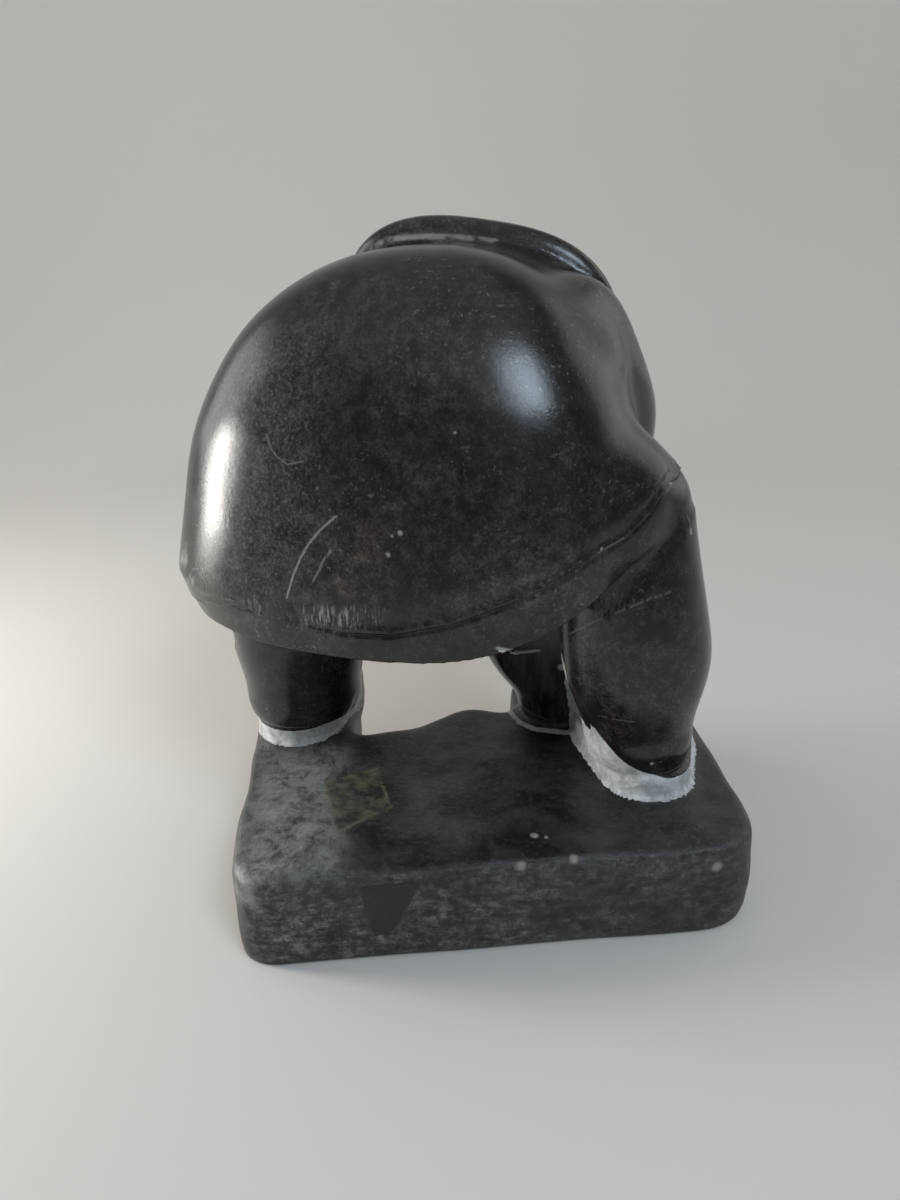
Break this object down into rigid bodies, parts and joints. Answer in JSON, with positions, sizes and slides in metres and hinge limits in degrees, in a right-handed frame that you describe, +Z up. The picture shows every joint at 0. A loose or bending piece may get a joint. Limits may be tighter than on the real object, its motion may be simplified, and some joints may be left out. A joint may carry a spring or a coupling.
{
  "type": "stone mother and child carving",
  "caption": "Dark polished stone carving of a stooping mother in a hooded parka with her child before her, cut with its slab from one block.",
  "frame": {"origin": "middle of the slab's flat underside", "axes": "+Z up; +X along the slab's long front edge, to the mother's right-hand side; +Y from the mother's back to her front, though she is turned about 20 degrees towards +X"},
  "size_m": [0.1771, 0.1338, 0.2032],
  "materials": {
    "dark_stone": "polished, with unpolished pale lines round the boots"
  },
  "bodies": {
    "root": {"mother_and_child_carving": "dark_stone"}
  },
  "joints": []
}
